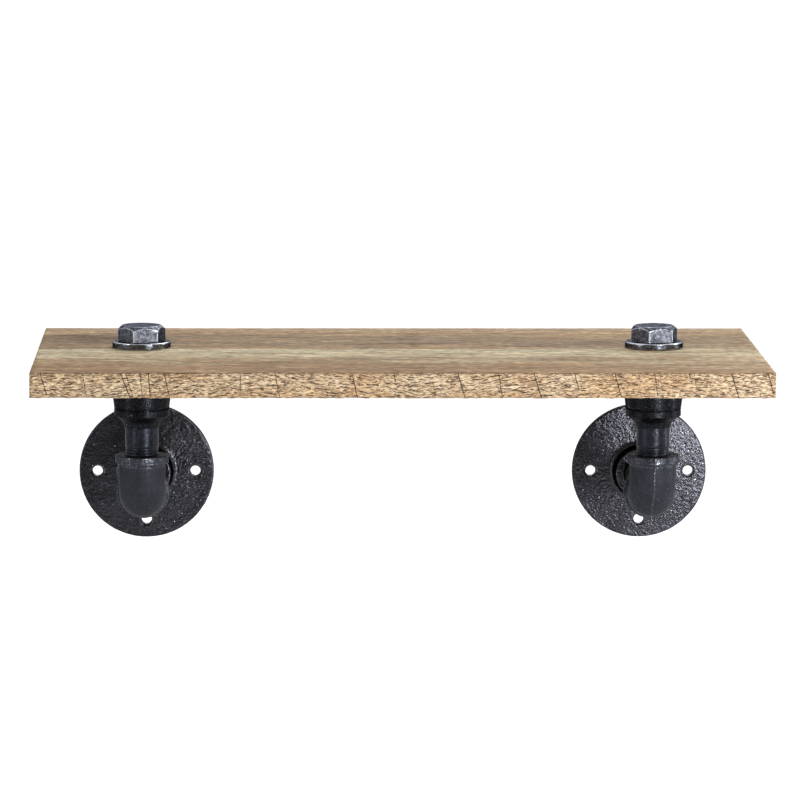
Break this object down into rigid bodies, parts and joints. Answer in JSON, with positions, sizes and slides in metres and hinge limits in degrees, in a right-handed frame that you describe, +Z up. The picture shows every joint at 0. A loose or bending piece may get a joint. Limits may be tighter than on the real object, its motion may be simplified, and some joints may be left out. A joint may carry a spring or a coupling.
{
  "type": "wall shelf",
  "caption": "Wooden shelf board carried on brackets of screwed pipe with elbows and round wall flanges, clamped from above by hex bolts and washers.",
  "frame": {"origin": "on the wall plane, midway between the two wall flanges, at the height of their centres", "axes": "+Z up, +Y into the wall, so the shelf stands out towards -Y; X runs along the board"},
  "size_m": [0.457, 0.2487, 0.1554],
  "materials": {
    "board_wood": "rough-sawn, worn brown stain",
    "flange_black": "black, coarse as cast",
    "fitting_black": "black, semi-gloss",
    "pipe_black": "black, semi-gloss",
    "fastener_steel": "dark gunmetal, worn edges"
  },
  "bodies": {
    "root": {"shelf_board": "board_wood", "left_wall_flange": "flange_black", "left_arm_nipple": "pipe_black", "left_elbow": "fitting_black", "left_riser_nipple": "pipe_black", "left_coupling": "fitting_black", "left_bolt_washer": "fastener_steel", "left_clamp_bolt": "fastener_steel", "right_wall_flange": "flange_black", "right_arm_nipple": "pipe_black", "right_elbow": "fitting_black", "right_riser_nipple": "pipe_black", "right_coupling": "fitting_black", "right_bolt_washer": "fastener_steel", "right_clamp_bolt": "fastener_steel"}
  },
  "joints": []
}
